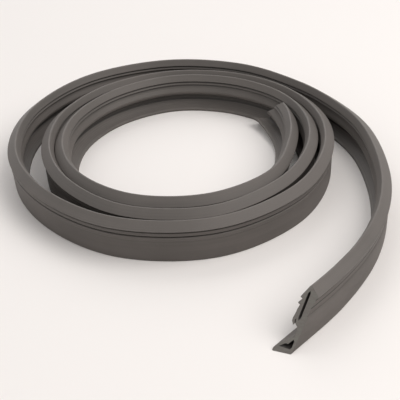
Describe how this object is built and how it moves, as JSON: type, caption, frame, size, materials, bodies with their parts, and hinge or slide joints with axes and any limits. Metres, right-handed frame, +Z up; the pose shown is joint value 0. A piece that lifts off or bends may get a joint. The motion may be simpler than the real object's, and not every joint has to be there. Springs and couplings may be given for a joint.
{
  "type": "dishwasher door seal",
  "caption": "One-piece extruded rubber door seal, wound into a loose flat coil with its outer end free.",
  "frame": {"origin": "on the floor that the coil stands on, under the middle of its bounding box", "axes": "+Z up, along the coil's axis; +Y away from the side that the free outer end points to; +X to the right seen from that side"},
  "size_m": [0.2162, 0.286, 0.0232],
  "materials": {
    "rubber": "matte"
  },
  "bodies": {
    "root": {"door_seal": "rubber"}
  },
  "joints": []
}
